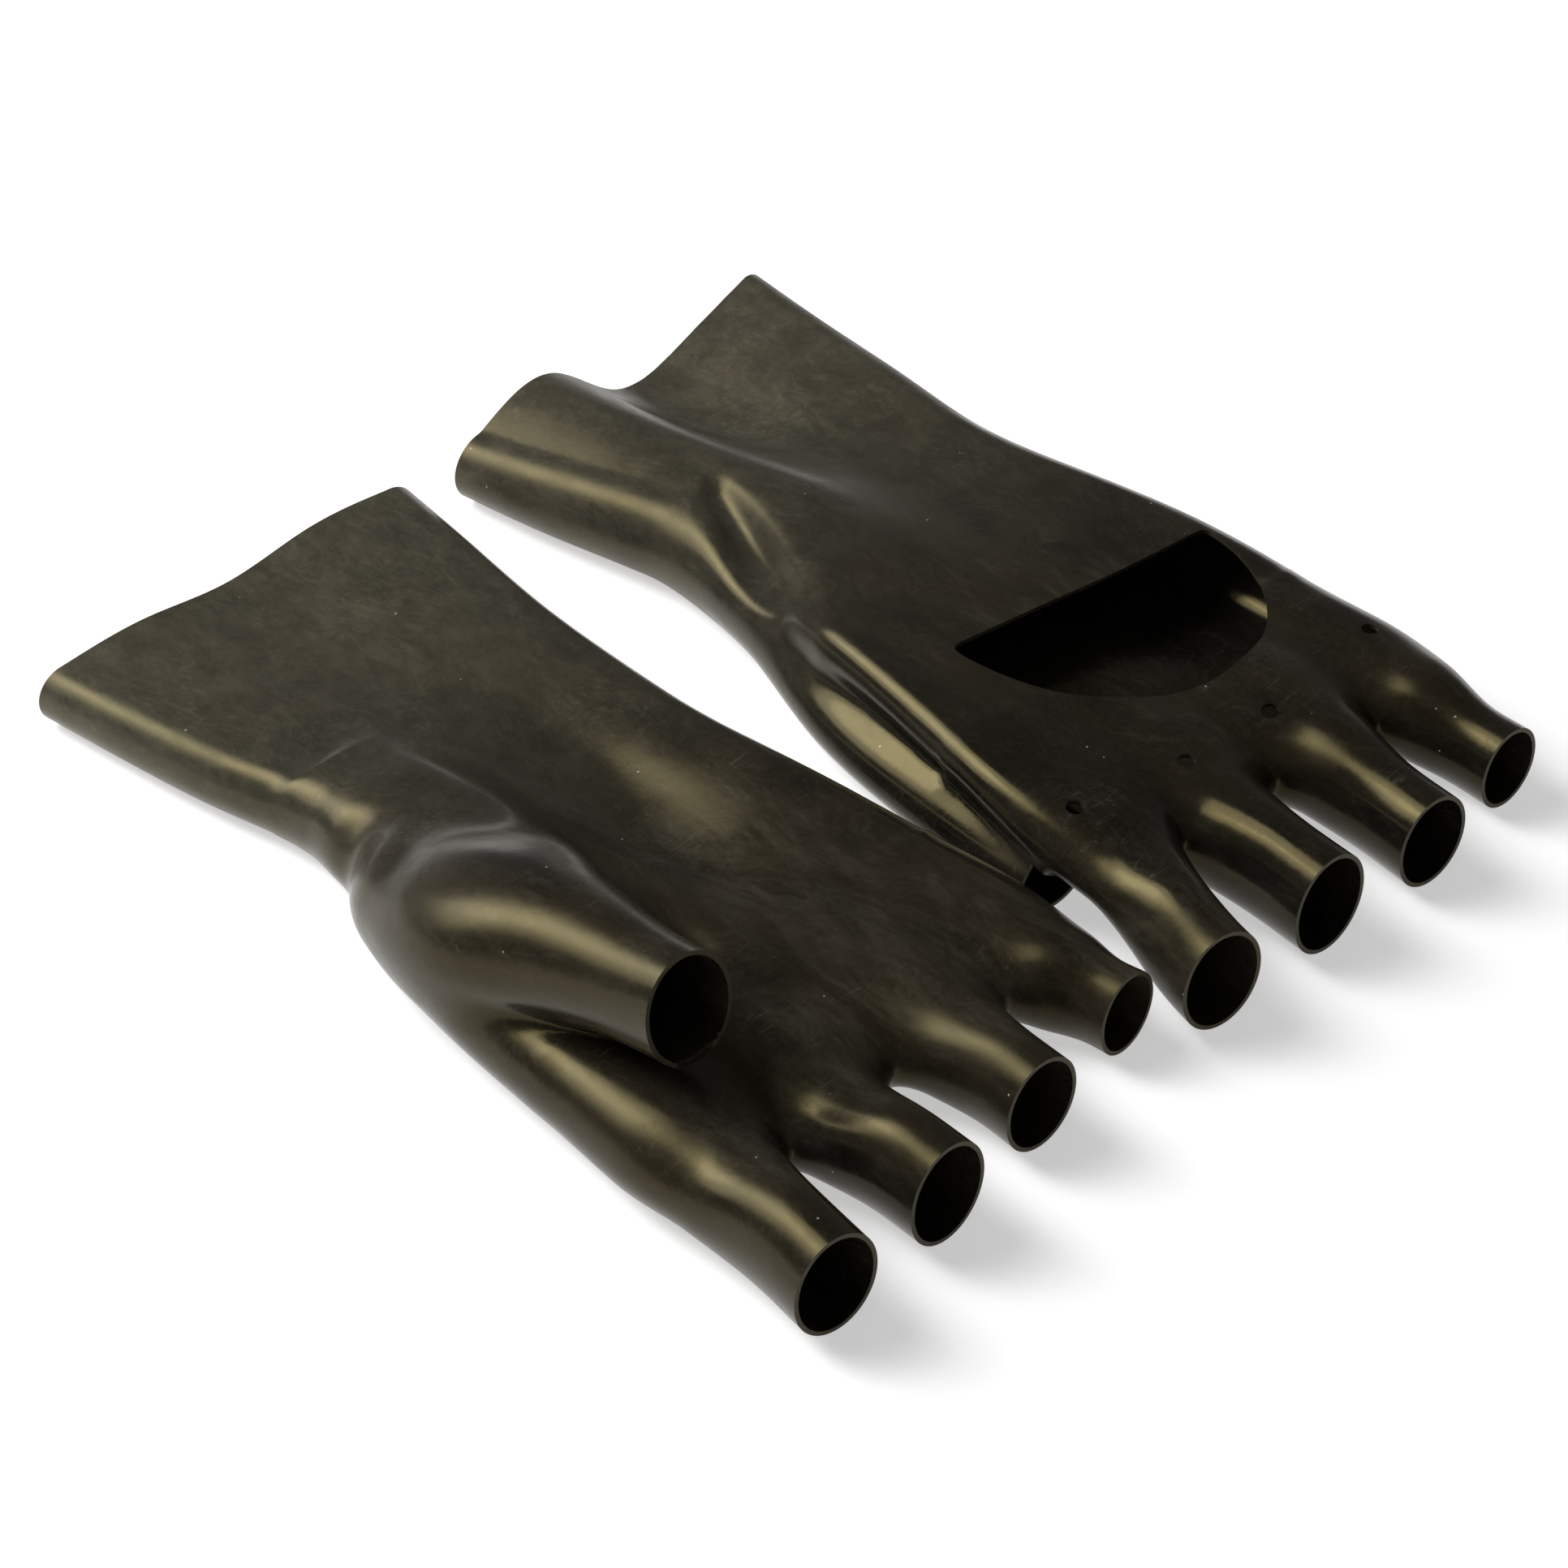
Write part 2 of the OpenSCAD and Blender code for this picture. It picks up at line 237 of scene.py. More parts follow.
@dataclass
class Glove:
    """One glove: how it lies, its fingers, its openings and the folds in its rubber."""

    node: str
    mount: str
    lie: list[list[float]]
    spread: list[tuple[float, float]]
    thumb: list[Station]
    back: Wall
    tuck: float = 0.0
    skew: float = 0.0
    thumb_blend: tuple[float, float] = (14.0, 2.0)
    dents: list[Dent] = field(default_factory=list)
    creases: list[Crease] = field(default_factory=list)
    length: float = 212.0
    cuff_w: float = 105.0
    wrist_w: float = 86.0
    palm_w: float = 113.0
    wall: float = 1.0
    stub_l: tuple = (35.0, 32.0, 26.0, 18.0)
    stub_w: tuple = (20.0, 20.0, 19.0, 17.0)
    stub_h: tuple = (25.0, 25.0, 23.0, 20.0)
    pitch: float = 33.0
    end_round: float = 20.0
    cut_from: float = 145.0
    cut_l: float = 42.0
    cut_w: float = 79.0
    cut_shift: float = 9.0
    vent_d: float = 4.0
    vent_back: float = 11.0
    vent_set: tuple = ((1.0, 1.5), (-2.0, -1.5), (-1.0, -8.0), (5.0, -3.0))
    stub_blend: tuple[float, float] = (7.0, 3.0)

    TO_WRIST = [0, 0.36, 0.76, 1, 1, 1, 1, 1, 1]
    TO_PALM = [0, 0, 0, 0, 0.32, 0.67, 0.89, 1, 1]
    LIFT_ACROSS = 0.45
    SKEW_OVER = 0.3
    CUFF_PAST = 3.0
    ROOTS = ((40, 0.5, 3.5), (24, 0.84, 1.2), (10, 1.0, 0.2), (-4, 0.86, -0.4))

    def __post_init__(self) -> None:
        """Prepares the curves of the hand and its five tubes."""
        self.web = self.length - self.tuck
        places = [self.web * i / 8 for i in range(9)]
        half = [
            (self.cuff_w + (self.wrist_w - self.cuff_w) * w + (self.palm_w - self.wrist_w) * q) / 2
            for w, q in zip(self.TO_WRIST, self.TO_PALM)
        ]
        self.rows = Spline(places, [[h] + row for h, row in zip(half, self.lie)])
        lanes = [0, 0.25, 0.5, 0.75, 1]
        self.across = Spline(lanes, np.eye(5).tolist())
        self.tubes = [Tube(self.stub(i), self.stub_blend) for i in range(4)]
        self.tubes.append(Tube(self.thumb, self.thumb_blend))

    def stub(self, i: int) -> list[Station]:
        """Stations of one finger stub, from its buried root to its mouth."""
        web_w = min(self.pitch - 3, self.stub_w[i] + 8)
        edge = (self.palm_w - web_w) / 2
        y = (-edge, -self.pitch / 2, self.pitch / 2, edge)[i]
        v = 0.12 + i * 0.253
        mouth_x = self.web + self.stub_l[i] + self.spread[i][0]
        mouth_y = (i - 1.5) * self.pitch + self.spread[i][1]
        turn = math.degrees(math.atan2(mouth_y - y, mouth_x - self.web + 20))
        rows = []
        for back, wide, sunk in self.ROOTS:
            top, low = (float(h) for h in self.heights(np.array(self.web - back), np.array(v)))
            share = 0.0 if back > 0 else 0.3
            rows.append(Station(
                self.web - back, y + share * (mouth_y - y), (top + low) / 2,
                wide * web_w, top - low - 2 * sunk, share and turn
            ))
        mid = 0.5 * (self.web + mouth_x) + 2
        low = rows[-1].z - rows[-1].high / 2
        return rows + [
            Station(mid, y + 0.7 * (mouth_y - y), self.stub_h[i] / 2 + low * 0.2,
                    self.stub_w[i], self.stub_h[i], turn),
            Station(mouth_x, mouth_y, self.stub_h[i] / 2, self.stub_w[i], self.stub_h[i], turn),
        ]

    def heights(self, x: Array, v: Array) -> tuple[Array, Array]:
        """Heights of the two walls of the lying hand.

        Args:
            x: places along the hand.
            v: places across it, 0 at the near side and 1 at the far side.

        Returns:
            Heights of the upper wall and of the lower wall.
        """
        row = self.rows(x)
        top = np.sum(self.across(v) * row[..., 2:7], axis=-1)
        fade = ease(1 - v / self.LIFT_ACROSS)
        return top, np.maximum(0, row[..., 7]) * fade

    def spine(self, x: Array, y: Array) -> tuple[Array, Array, Array]:
        """Flat middle sheet of the hand, about which its skin is drawn.

        Args:
            x: places along the hand.
            y: places across it.

        Returns:
            Sideways distance from the sheet, the sheet's height and the skin's radius about it.
        """
        row = self.rows(x)
        half, mid = row[..., 0], row[..., 1]
        lift = np.maximum(0, row[..., 7])
        near_r = (row[..., 2] - lift) / 2
        far_r = row[..., 6] / 2
        near_y, far_y = mid - half + near_r, mid + half - far_r
        held = np.clip(y, near_y, far_y)
        v = (held - near_y) / (far_y - near_y)
        top, low = self.heights(x, v)
        return y - held, (top + low) / 2, (top - low) / 2

    def unskewed(self, p: Array) -> Array:
        """Place along the hand, with the slant of the cuff edge taken out."""
        fade = np.maximum(0, 1 - p[..., 0] / (self.SKEW_OVER * self.web))
        return p[..., 0] + self.skew * fade * p[..., 1] / self.cuff_w

    def hand(self, p: Array) -> Array:
        """Distance to the skin of the hand and cuff alone."""
        x = self.unskewed(p)
        side, middle, radius = self.spine(x, p[..., 1])
        end = np.maximum(0, x - (self.web - self.end_round)) * radius / self.end_round
        return np.sqrt(side ** 2 + (p[..., 2] - middle) ** 2 + end ** 2) - radius

    def field(self, p: Array) -> Array:
        """Distance to the glove's outer skin, in millimetres and negative inside."""
        skin = self.hand(p)
        for tube in self.tubes:
            skin = tube.join(skin, p)
        for fold in self.dents + self.creases:
            skin = skin + fold.press(p)
        return np.maximum(skin, np.maximum(-p[..., 2], -self.CUFF_PAST - self.unskewed(p)))

    def opening(self, p: Array) -> Array:
        """Distance outside the half-moon and the vent holes, in plan."""
        x, y = p[..., 0] + self.tuck - self.cut_from, p[..., 1] - self.cut_shift
        a, b = self.cut_l, self.cut_w / 2
        k0 = np.sqrt((x / a) ** 2 + (y / b) ** 2) + 1e-6
        k1 = np.sqrt((x / a ** 2) ** 2 + (y / b ** 2) ** 2) + 1e-6
        plan = -blend_min(-k0 * (k0 - 1) / k1, x, 3.0)
        for i, (back, aside) in enumerate(self.vent_set):
            cx = self.web - self.vent_back - back
            cy = (i - 1.5) * self.pitch + aside
            hole = np.hypot(p[..., 0] - cx, p[..., 1] - cy) - self.vent_d / 2
            plan = np.minimum(plan, hole)
        return plan

    def kept(self, p: Array) -> Array:
        """Distance inside all trims and openings, negative on what is cut away."""
        middle = self.spine(self.unskewed(p), p[..., 1])[1]
        off_wall = (middle - p[..., 2]) * self.back.value
        keep = np.maximum(self.opening(p), off_wall)
        keep = np.minimum(keep, self.unskewed(p))
        for tube in self.tubes:
            keep = np.minimum(keep, tube.trim(p))
        return keep


# ---------------------------------------------------------------- meshing


CORNERS = np.array([[i, j, k] for i in (0, 1) for j in (0, 1) for k in (0, 1)])
EDGES = [(a, b) for a in range(8) for b in range(a + 1, 8)
         if np.abs(CORNERS[a] - CORNERS[b]).sum() == 1]


@dataclass
class ShellMesher:
    """Turns a glove's form into a mesh of its real wall."""

    glove: Glove
    step: float = 1.25
    margin: float = 4.0
    relax_rounds: int = 4

    def grid(self) -> tuple[Array, Array]:
        """Corner of the sampled block and its count of samples each way."""
        low = np.array([-self.margin - self.glove.CUFF_PAST - self.glove.skew, -66.0, -self.margin])
        high = np.array([256.0, 66.0, 56.0])
        return low, np.ceil((high - low) / self.step).astype(int) + 1

    def sample(self) -> tuple[Array, Array]:
        """Samples the form's field over the block, one slice at a time."""
        low, count = self.grid()
        ys = low[1] + self.step * np.arange(count[1])
        zs = low[2] + self.step * np.arange(count[2])
        values = np.empty(tuple(count), np.float32)
        for i in range(count[0]):
            plane = np.empty((count[1], count[2], 3))
            plane[..., 0] = low[0] + self.step * i
            plane[..., 1] = ys[:, None]
            plane[..., 2] = zs[None, :]
            values[i] = self.glove.field(plane)
        return low, values

    def skin(self) -> tuple[Array, Array]:
        """Points and quads of the closed outer skin, one point for each cell that it crosses."""
        low, values = self.sample()
        inside = values < 0
        nx, ny, nz = values.shape
        corner_in = [inside[i:nx - 1 + i, j:ny - 1 + j, k:nz - 1 + k] for i, j, k in CORNERS]
        total = np.sum(corner_in, axis=0)
        cells = np.argwhere((total > 0) & (total < 8))
        at = np.stack([values[tuple((cells + c).T)] for c in CORNERS], axis=1)
        sums = np.zeros((len(cells), 3))
        hits = np.zeros(len(cells))
        for a, b in EDGES:
            cross = (at[:, a] < 0) != (at[:, b] < 0)
            t = at[:, a] / np.where(cross, at[:, a] - at[:, b], 1)
            spot = CORNERS[a] + t[:, None] * (CORNERS[b] - CORNERS[a])
            sums += np.where(cross[:, None], spot, 0)
            hits += cross
        points = low + self.step * (cells + sums / hits[:, None])
        index = -np.ones((nx - 1, ny - 1, nz - 1), int)
        index[tuple(cells.T)] = np.arange(len(cells))
        quads = []
        for axis in range(3):
            u, v = (axis + 1) % 3, (axis + 2) % 3
            first = inside.take(range(values.shape[axis] - 1), axis)
            then = inside.take(range(1, values.shape[axis]), axis)
            for way, mask in ((1, first & ~then), (-1, ~first & then)):
                spots = np.argwhere(mask)
                ring = []
                for du, dv in ((0, 0), (1, 0), (1, 1), (0, 1)):
                    cell = spots.copy()
                    cell[:, u] -= du
                    cell[:, v] -= dv
                    ring.append(index[tuple(cell.T)])
                quad = np.stack(ring, axis=1)
                quads.append(quad if way > 0 else quad[:, ::-1])
        return points, np.concatenate(quads)

    def slope(self, p: Array, of: object) -> Array:
        """Gradient of a field.

        Args:
            p: the points.
            of: the function that gives the field at points.

        Returns:
            One vector for each point.
        """
        h = 0.05
        out = np.empty_like(p)
        for axis in range(3):
            d = np.zeros(3)
            d[axis] = h
            out[:, axis] = (of(p + d) - of(p - d)) / (2 * h)
        return out

    def settle(self, p: Array, rounds: int = 2) -> Array:
        """Moves points onto the form's skin."""
        for _ in range(rounds):
            g = self.slope(p, self.glove.field)
            move = self.glove.field(p) / np.maximum((g * g).sum(1), 0.05)
            p = p - np.clip(move, -1.0, 1.0)[:, None] * g
        return p

    def relaxed(self, p: Array, quads: Array) -> Array:
        """Evens out the spacing of the points and sets them back on the skin.

        Args:
            p: the skin's points.
            quads: its faces, as four point numbers each.

        Returns:
            The moved points.
        """
        pairs = np.concatenate([quads[:, [i, (i + 1) % 4]] for i in range(4)])
        for _ in range(self.relax_rounds):
            total = np.zeros_like(p)
            count = np.zeros(len(p))
            for a, b in ((0, 1), (1, 0)):
                np.add.at(total, pairs[:, a], p[pairs[:, b]])
                np.add.at(count, pairs[:, a], 1)
            p = self.settle(0.5 * p + 0.5 * total / count[:, None], 1)
        return self.settle(p)

    def snapped(self, p: Array) -> tuple[Array, Array]:
        """Moves the points nearest to a cut onto it, along the skin."""
        keep = self.glove.kept(p)
        close = np.abs(keep) < 0.33 * self.step
        q = p[close]
        for _ in range(3):
            normal = self.slope(q, self.glove.field)
            normal /= np.linalg.norm(normal, axis=1)[:, None]
            g = self.slope(q, self.glove.kept)
            g -= (g * normal).sum(1)[:, None] * normal
            move = self.glove.kept(q) / np.maximum((g * g).sum(1), 0.2)
            q = self.settle(q - np.clip(move, -1, 1)[:, None] * g, 1)
        p = p.copy()
        p[close] = q
        keep = self.glove.kept(p)
        keep[close & (np.abs(keep) < 0.1)] = 0
        return p, keep

    def trimmed(self, p: Array, quads: Array) -> tuple[Array, list[tuple[int, ...]]]:
        """Cuts the mouths and openings out of the skin.

        Args:
            p: the skin's points.
            quads: its faces, as four point numbers each.

        Returns:
            The points, with those on the cuts added, and the faces that are left.
        """
        p, keep = self.snapped(p)
        whole = (keep[quads] >= 0).all(1) & (keep[quads] > 0).any(1)
        mixed = (keep[quads] > 0).any(1) & (keep[quads] < 0).any(1)
        faces = [tuple(q) for q in quads[whole].tolist()]
        points = p.tolist()
        made: dict[tuple[int, int], int] = {}

        def crossing(a: int, b: int) -> int:
            """The point where the cut crosses an edge, made once."""
            key = (min(a, b), max(a, b))
            if key not in made:
                t = keep[key[0]] / (keep[key[0]] - keep[key[1]])
                spot = p[key[0]] + t * (p[key[1]] - p[key[0]])
                made[key] = len(points)
                points.append(spot.tolist())
            return made[key]

        for quad in quads[mixed].tolist():
            for tri in ((quad[0], quad[1], quad[2]), (quad[0], quad[2], quad[3])):
                face: list[int] = []
                for a, b in zip(tri, tri[1:] + tri[:1]):
                    if keep[a] >= 0:
                        face.append(a)
                    if keep[a] * keep[b] < 0:
                        face.append(crossing(a, b))
                if len(face) > 2 and max(keep[i] if i < len(keep) else 0 for i in face) > 0:
                    faces.append(tuple(face))
        return np.array(points), faces

    def build(self) -> tuple[Array, list[tuple[int, ...]], int, Array]:
        """Makes the whole wall.

        Returns:
            Points in millimetres, faces, the count of faces before the cut rims, and the pairs of
            points along the rims' edges.
        """
        p, quads = self.skin()
        p = self.relaxed(p, quads)
        p, faces = self.trimmed(p, quads)
        used = np.unique(np.concatenate([np.array(f) for f in faces]))
        renumber = -np.ones(len(p), int)
        renumber[used] = np.arange(len(used))
        p = p[used]
        faces = [tuple(int(renumber[i]) for i in f) for f in faces]
        normal = self.slope(p, self.glove.field)
        normal /= np.linalg.norm(normal, axis=1)[:, None]
        inner = p - self.glove.wall * normal
        count = len(p)
        ways: dict[tuple[int, int], int] = {}
        for f in faces:
            for a, b in zip(f, f[1:] + f[:1]):
                ways[(a, b)] = ways.get((a, b), 0) + 1
        open_ways = [w for w in ways if (w[1], w[0]) not in ways]
        skins = faces + [tuple(i + count for i in f[::-1]) for f in faces]
        rims = [(b, a, a + count, b + count) for a, b in open_ways]
        edges = np.array(open_ways)
        return np.concatenate([p, inner]), skins + rims, len(skins), np.concatenate([edges, edges + count])


# ---------------------------------------------------------------- finishes


@dataclass(frozen=True)
class RubberFinish:
    """Colours, gloss, wear and painted sheen of one cut or moulded face of the rubber."""

    name: str
    dark: tuple = (0.0070, 0.0064, 0.0052, 1)
    warm: tuple = (0.0190, 0.0150, 0.0095, 1)
    # pale colour of the bloom and the scratches, and of the painted sheen towards the cuffs
    bloom_and_painted_sheen: tuple = (0.125, 0.114, 0.084, 1)
    speck: tuple = (0.42, 0.40, 0.36, 1)
    rough_low: float = 0.15
    rough_high: float = 0.30
    chalk_share: float = 0.42
    # strength of the painted sheen that lightens the rubber towards the cuffs
    painted_sheen_share: float = 0.60
    dust_share: float = 0.42
    scratch_share: float = 0.7
    bump: float = 0.55
    specular: float = 0.34
    tint: tuple = (1.0, 0.82, 0.36, 1)


MOULDED = RubberFinish("rubber")
CUT_EDGE = RubberFinish(
    "rubber_cut_edge", dark=(0.020, 0.018, 0.014, 1), warm=(0.042, 0.036, 0.026, 1),
    rough_low=0.5, rough_high=0.6, chalk_share=0.25, scratch_share=0.2, bump=0.6
)


class Nodes:
    """A short way to add and join the nodes of one tree."""

    def __init__(self, tree: bpy.types.NodeTree) -> None:
        """Keeps the tree that is worked on."""
        self.tree = tree

    def add(self, kind: str, inputs: dict | None = None, **settings: object) -> bpy.types.Node:
        """Adds one node.

        Args:
            kind: Blender's name of the node type.
            inputs: values or output sockets by input name or number.
            settings: properties of the node itself.

        Returns:
            The new node.
        """
        node = self.tree.nodes.new(kind)
        for name, value in settings.items():
            setattr(node, name, value)
        for name, value in (inputs or {}).items():
            if isinstance(value, bpy.types.NodeSocket):
                self.tree.links.new(value, node.inputs[name])
            else:
                node.inputs[name].default_value = value
        return node

    def join(self, source: object, target: object) -> None:
        """Joins an output socket to an input socket."""
        self.tree.links.new(source, target)

    def use(self, group: bpy.types.NodeTree, inputs: dict) -> bpy.types.Node:
        """Places a node group with its own values."""
        node = self.tree.nodes.new("ShaderNodeGroup")
        node.node_tree = group
        for name, value in inputs.items():
            if isinstance(value, bpy.types.NodeSocket):
                self.join(value, node.inputs[name])
            else:
                node.inputs[name].default_value = value
        return node

    def noise(self, where: object, scale: float, detail: float, rough: float = 0.55) -> object:
        """Factor socket of a noise texture."""
        node = self.add("ShaderNodeTexNoise", {"Vector": where, "Scale": scale, "Detail": detail,
                                               "Roughness": rough})
        return node.outputs["Fac"]

    def ramp(self, value: object, low: float, high: float, to_low: float = 0.0,
             to_high: float = 1.0) -> object:
        """Smooth change from one value to another as an input passes between two limits."""
        node = self.add("ShaderNodeMapRange", {0: value, 1: low, 2: high, 3: to_low, 4: to_high},
                        interpolation_type="SMOOTHSTEP")
        return node.outputs[0]

    def math(self, kind: str, a: object, b: object = 0.0) -> object:
        """Result of a sum, product or other step of arithmetic."""
        return self.add("ShaderNodeMath", {0: a, 1: b}, operation=kind).outputs[0]

    def mix(self, share: object, a: object, b: object) -> object:
        """Colour between two colours."""
        node = self.add("ShaderNodeMix", {0: share, 6: a, 7: b}, data_type="RGBA")
        return node.outputs[2]


class RubberShop:
    """Makes the node groups of the rubber once, and its materials from them."""

    def __init__(self) -> None:
        """Builds the shared groups."""
        self.cloud = self.cloud_group()
        self.bloom_and_painted_sheen = self.bloom_and_sheen_group()
        self.wear = self.wear_group()
        self.dust = self.dust_group()
        self.grain = self.grain_group()

    @staticmethod
    def group(name: str, inputs: dict[str, object],
              outputs: dict[str, str]) -> tuple[Nodes, object, object]:
        """Starts a node group.

        Args:
            name: the group's name.
            inputs: default values of its inputs by name; None stands for a vector.
            outputs: socket types of its outputs by name.

        Returns:
            The group's nodes, its input node and its output node.
        """
        tree = bpy.data.node_groups.new(name, "ShaderNodeTree")
        for label, value in inputs.items():
            kind = "NodeSocketVector" if value is None else (
                "NodeSocketColor" if isinstance(value, tuple) else "NodeSocketFloat")
            socket = tree.interface.new_socket(label, in_out="INPUT", socket_type=kind)
            if value is not None:
                socket.default_value = value
        for label, kind in outputs.items():
            tree.interface.new_socket(label, in_out="OUTPUT", socket_type=kind)
        nodes = Nodes(tree)
        return nodes, nodes.add("NodeGroupInput"), nodes.add("NodeGroupOutput")

    def cloud_group(self) -> bpy.types.NodeTree:
        """Slow changes of the rubber's colour, drawn out along the hand."""
        n, given, out = self.group(
            "rubber_clouds", {"Vector": None, "Dark": (0, 0, 0, 1), "Warm": (0, 0, 0, 1)},
            {"Color": "NodeSocketColor", "Cloud": "NodeSocketFloat"})
        drawn = n.add("ShaderNodeMapping", {"Vector": given.outputs["Vector"], "Scale": (0.6, 1, 1)})
        broad = n.noise(drawn.outputs[0], 22, 5, 0.55)
        fine = n.noise(drawn.outputs[0], 95, 9, 0.68)
        both = n.math("ADD", n.math("MULTIPLY", broad, 0.65), n.math("MULTIPLY", fine, 0.35))
        cloud = n.ramp(both, 0.38, 0.64)
        n.join(n.mix(cloud, given.outputs["Dark"], given.outputs["Warm"]), out.inputs["Color"])
        n.join(cloud, out.inputs["Cloud"])
        return n.tree

    def bloom_and_sheen_group(self) -> bpy.types.NodeTree:
        """Whitish bloom in wiped streaks, with swirls of finer marks in it, and a painted sheen that
        lightens the rubber towards the cuffs.
        """
        n, given, out = self.group(
            "rubber_bloom_and_painted_sheen", {"Vector": None, "Share": 1.0, "Painted sheen": 0.5}, {"Mask": "NodeSocketFloat"})
        where = given.outputs["Vector"]
        turned = n.add("ShaderNodeMapping", {"Vector": where, "Rotation": (0, 0, 0.5),
                                             "Scale": (0.45, 1.5, 1)})
        drawn = n.add("ShaderNodeMapping", {"Vector": where, "Scale": (0.7, 1, 1)}).outputs[0]
        patch = n.ramp(n.noise(where, 15, 3, 0.5), 0.47, 0.72)
        streak = n.ramp(n.noise(turned.outputs[0], 130, 7, 0.72), 0.42, 0.78)
        swirl = n.add("ShaderNodeTexNoise", {"Vector": turned.outputs[0], "Scale": 42, "Detail": 8,
                                             "Roughness": 0.66, "Distortion": 1.6}).outputs["Fac"]
        marks = n.math("ADD", n.math("MULTIPLY", streak, 0.5), n.ramp(swirl, 0.42, 0.72, 0, 0.6))
        mask = n.math("MULTIPLY", patch, marks)
        mask = n.math("MULTIPLY", mask, given.outputs["Share"])
        # painted sheen: the colour is lightened towards the cuffs, at low x, with a noisy edge and a
        # cloudy mottle in it
        place = n.add("ShaderNodeSeparateXYZ", {0: where}).outputs[0]
        place = n.math("ADD", place, n.math("MULTIPLY", n.noise(where, 18, 6, 0.6), 0.09))
        painted_cuff_sheen = n.math("MULTIPLY", n.ramp(place, -0.08, 0.10, 1, 0), given.outputs["Painted sheen"])
        painted_cuff_sheen = n.math("MULTIPLY", painted_cuff_sheen, n.ramp(n.noise(drawn, 150, 8, 0.75), 0.30, 0.70, 0.55, 1.0))
        n.join(n.math("MAXIMUM", mask, painted_cuff_sheen), out.inputs["Mask"])
        return n.tree

    def dust_group(self) -> bpy.types.NodeTree:
        """Fine mottled dust, rubbed into short streaks that wander over the hand."""
        n, given, out = self.group(
            "rubber_dust", {"Vector": None, "Share": 1.0}, {"Mask": "NodeSocketFloat"})
        where = given.outputs["Vector"]
        sway = n.add("ShaderNodeTexNoise", {"Vector": where, "Scale": 26, "Detail": 3}).outputs["Color"]
        bent = n.add("ShaderNodeVectorMath", {0: sway, 1: (0.035, 0.035, 0.035)},
                     operation="MULTIPLY_ADD")
        n.join(where, bent.inputs[2])
        long = n.add("ShaderNodeMapping", {"Vector": bent.outputs[0], "Rotation": (0, 0, -0.6),
                                           "Scale": (0.22, 1, 1)}).outputs[0]
        streak = n.ramp(n.noise(long, 520, 6, 0.7), 0.46, 0.74)
        mottle = n.ramp(n.noise(bent.outputs[0], 700, 7, 0.8), 0.45, 0.75)
        patch = n.ramp(n.noise(where, 48, 5, 0.65), 0.35, 0.65, 0.25, 1.0)
        both = n.math("ADD", n.math("MULTIPLY", streak, 0.6), n.math("MULTIPLY", mottle, 0.6))
        both = n.math("MULTIPLY", both, patch)
        n.join(n.math("MULTIPLY", both, given.outputs["Share"]), out.inputs["Mask"])
        return n.tree

    def wear_group(self) -> bpy.types.NodeTree:
        """Dust specks and hair-thin scratches."""
        n, given, out = self.group(
            "rubber_wear", {"Vector": None, "Scratches": 1.0},
            {"Specks": "NodeSocketFloat", "Scratches": "NodeSocketFloat"})
        where = given.outputs["Vector"]
        cells = n.add("ShaderNodeTexVoronoi", {"Vector": where, "Scale": 230, "Randomness": 1})
        pick = n.ramp(n.add("ShaderNodeSeparateColor", {0: cells.outputs["Color"]}).outputs[0], 0.90, 0.92)
        dot = n.ramp(cells.outputs["Distance"], 0.03, 0.075, 1, 0)
        n.join(n.math("MULTIPLY", dot, pick), out.inputs["Specks"])
        lines = None
        for turn, scale in ((0.4, 60), (-0.9, 47), (2.2, 74)):
            way = n.add("ShaderNodeMapping", {"Vector": where, "Rotation": (0.3, 0.2, turn),
                                              "Scale": (1, 0.035, 0.6)})
            wave = n.noise(way.outputs[0], scale * 9, 1, 0.3)
            near = n.ramp(n.math("ABSOLUTE", n.math("SUBTRACT", wave, 0.5)), 0.0, 0.012, 1, 0)
            part = n.ramp(n.noise(where, scale, 2, 0.5), 0.60, 0.66)
            line = n.math("MULTIPLY", near, part)
            lines = line if lines is None else n.math("MAXIMUM", lines, line)
        n.join(n.math("MULTIPLY", lines, given.outputs["Scratches"]), out.inputs["Scratches"])
        return n.tree

    def grain_group(self) -> bpy.types.NodeTree:
        """Height of the moulded skin: slow waves and a fine matt grain, in metres."""
        n, given, out = self.group(
            "rubber_grain", {"Vector": None, "Depth": 1.0}, {"Height": "NodeSocketFloat"})
        where = given.outputs["Vector"]
        wave = n.math("MULTIPLY", n.noise(where, 60, 4, 0.5), 0.00022)
        ripple = n.math("MULTIPLY", n.noise(where, 320, 5, 0.6), 0.000045)
        grain = n.math("MULTIPLY", n.noise(where, 2600, 3, 0.6), 0.0000065)
        height = n.math("ADD", n.math("ADD", wave, ripple), grain)
        n.join(n.math("MULTIPLY", height, given.outputs["Depth"]), out.inputs["Height"])
        return n.tree

    def material(self, finish: RubberFinish) -> bpy.types.Material:
        """Builds one rubber material from the shared groups."""
        mat = bpy.data.materials.new(finish.name)
        mat.use_nodes = True
        n = Nodes(mat.node_tree)
        shader = mat.node_tree.nodes["Principled BSDF"]
        where = n.add("ShaderNodeTexCoord").outputs["Object"]
        cloud = n.use(self.cloud, {"Vector": where, "Dark": finish.dark, "Warm": finish.warm})
